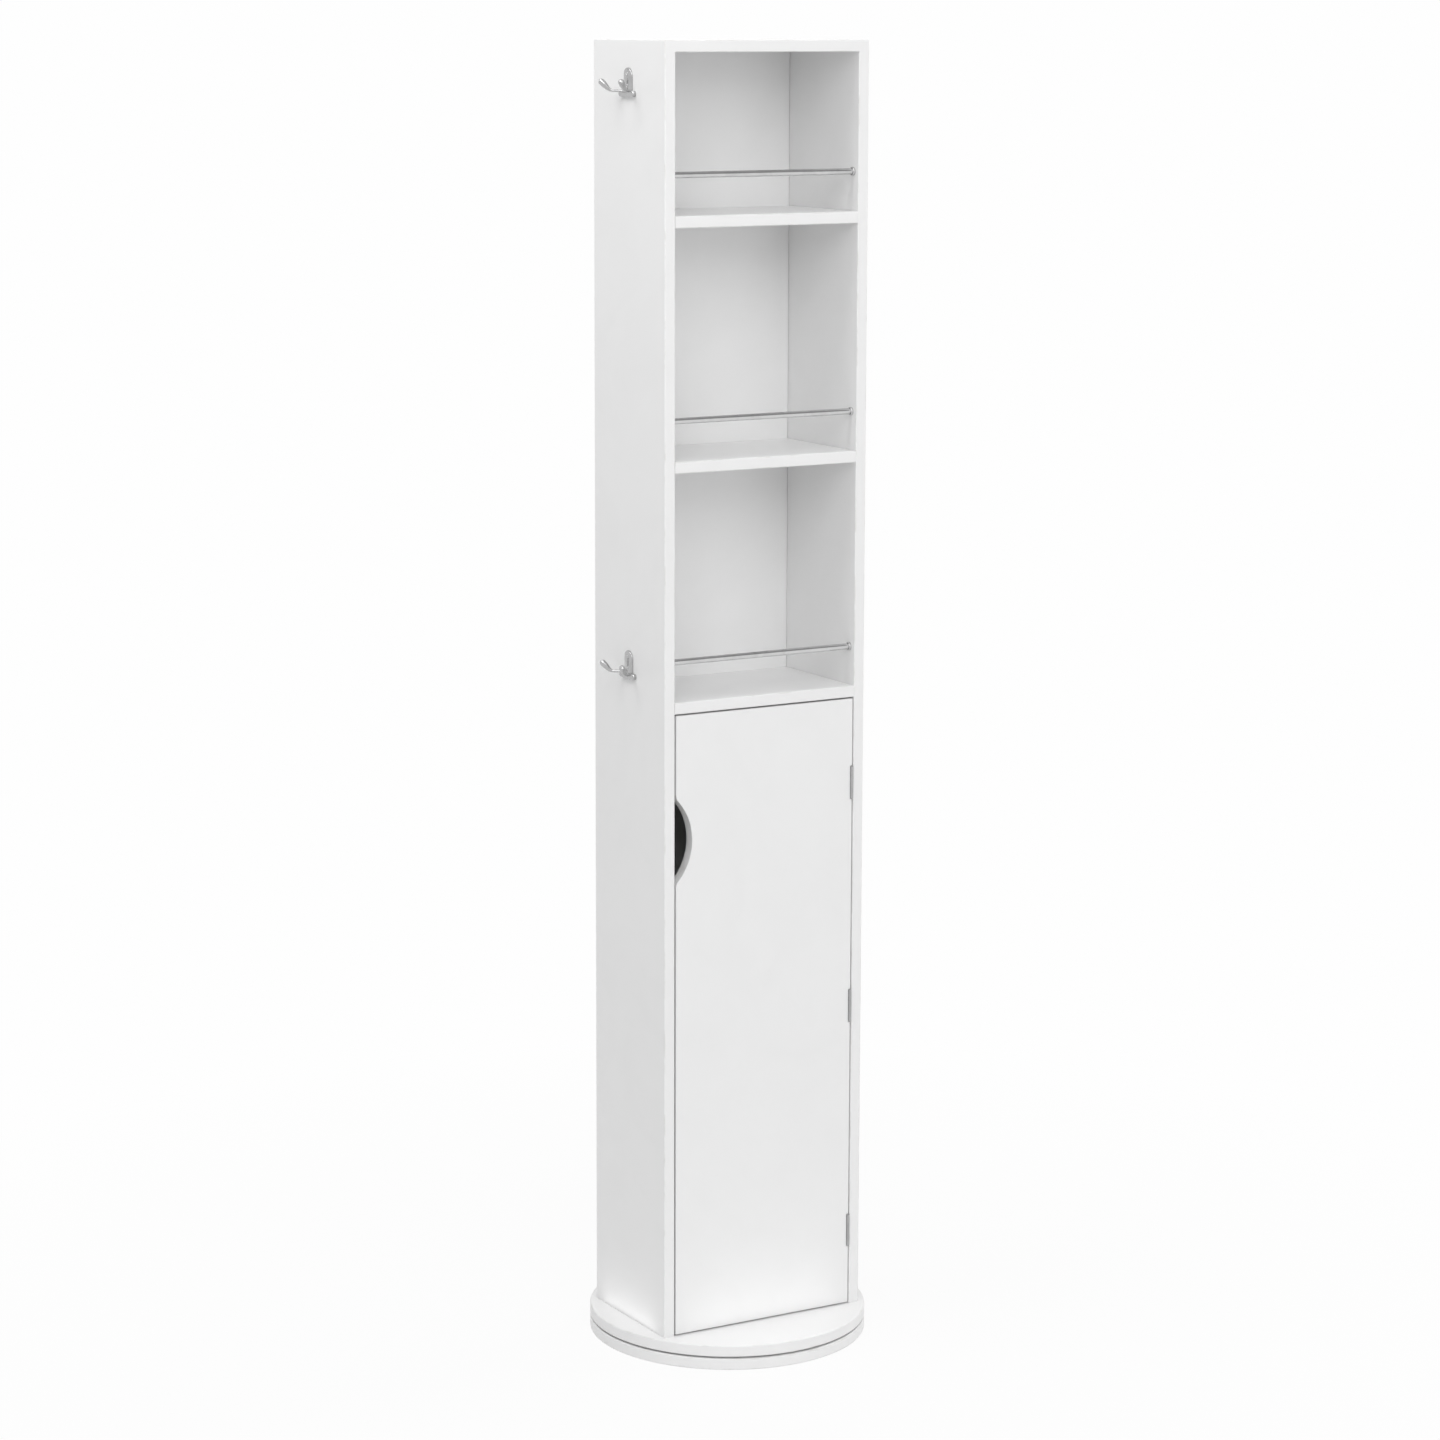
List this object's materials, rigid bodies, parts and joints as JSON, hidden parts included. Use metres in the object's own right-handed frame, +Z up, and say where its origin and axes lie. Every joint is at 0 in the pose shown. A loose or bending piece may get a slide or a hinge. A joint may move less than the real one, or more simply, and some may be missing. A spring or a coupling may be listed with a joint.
{
  "type": "revolving cabinet",
  "caption": "Tall slim white cabinet that turns on a round foot, with open niches behind metal rails above a cupboard with an inset door, coat hooks on its sides and a mirror on its back.",
  "frame": {"origin": "on the floor, under the turning axis, at the centre of the round foot disc", "axes": "+Z up along the turning axis, -Y out of the open front, +X to the right of someone who faces the front"},
  "size_m": [0.365, 0.365, 1.69],
  "materials": {
    "white_board": "satin white melamine on particle board",
    "chrome": "polished chrome",
    "satin_nickel": "satin nickel on cast zinc",
    "hinge_steel": "zinc-plated steel",
    "bearing_steel": "bright steel, lightly oiled",
    "mirror": "silvered float glass with ground edges",
    "white_plastic": "matte moulded plastic"
  },
  "bodies": {
    "base": {"base_disc": "white_board", "race_outer_ring": "bearing_steel"},
    "ball_ring": {"ball_ring": "bearing_steel"},
    "cabinet": {"turning_disc": "white_board", "race_inner_ring": "bearing_steel", "side_panel_left": "white_board", "side_panel_right": "white_board", "top_panel": "white_board", "back_panel": "white_board", "shelf_upper": "white_board", "shelf_middle": "white_board", "shelf_lower": "white_board", "mirror_glass": "mirror", "rail_upper": "chrome", "rail_middle": "chrome", "rail_lower": "chrome", "rail_socket_upper_left": "chrome", "rail_socket_upper_right": "chrome", "rail_socket_middle_left": "chrome", "rail_socket_middle_right": "chrome", "rail_socket_lower_left": "chrome", "rail_socket_lower_right": "chrome", "cupboard_shelf_upper": "white_board", "cupboard_shelf_lower": "white_board", "shelf_pin_upper_left_front": "bearing_steel", "shelf_pin_upper_left_back": "bearing_steel", "shelf_pin_upper_right_front": "bearing_steel", "shelf_pin_upper_right_back": "bearing_steel", "shelf_pin_lower_left_front": "bearing_steel", "shelf_pin_lower_left_back": "bearing_steel", "shelf_pin_lower_right_front": "bearing_steel", "shelf_pin_lower_right_back": "bearing_steel", "coat_hook_left_upper": "satin_nickel", "coat_hook_left_lower": "satin_nickel", "coat_hook_right_upper": "satin_nickel", "coat_hook_right_lower": "satin_nickel", "hinge_top_frame_leaf": "hinge_steel", "hinge_top_pin": "hinge_steel", "hinge_middle_frame_leaf": "hinge_steel", "hinge_middle_pin": "hinge_steel", "hinge_bottom_frame_leaf": "hinge_steel", "hinge_bottom_pin": "hinge_steel", "catch_body": "white_plastic"},
    "door": {"door": "white_board", "hinge_top_door_leaf": "hinge_steel", "hinge_middle_door_leaf": "hinge_steel", "hinge_bottom_door_leaf": "hinge_steel", "catch_striker": "hinge_steel"}
  },
  "joints": [
    {"name": "cabinet_spin", "type": "hinge", "parent": "base", "child": "cabinet", "pos_m": [0, 0, 0.01625], "axis": [0, 0, 1], "continuous": true},
    {"name": "ball_ring_spin", "type": "hinge", "parent": "base", "child": "ball_ring", "pos_m": [0, 0, 0.01625], "axis": [0, 0, 1], "continuous": true},
    {"name": "door_swing", "type": "hinge", "parent": "cabinet", "child": "door", "pos_m": [0.1304, -0.0926, 0.438], "axis": [0, 0, 1], "range_deg": [0, 180]}
  ],
  "couplings": [
    {"joint": "ball_ring_spin", "follows": "cabinet_spin", "ratio": 0.5}
  ]
}
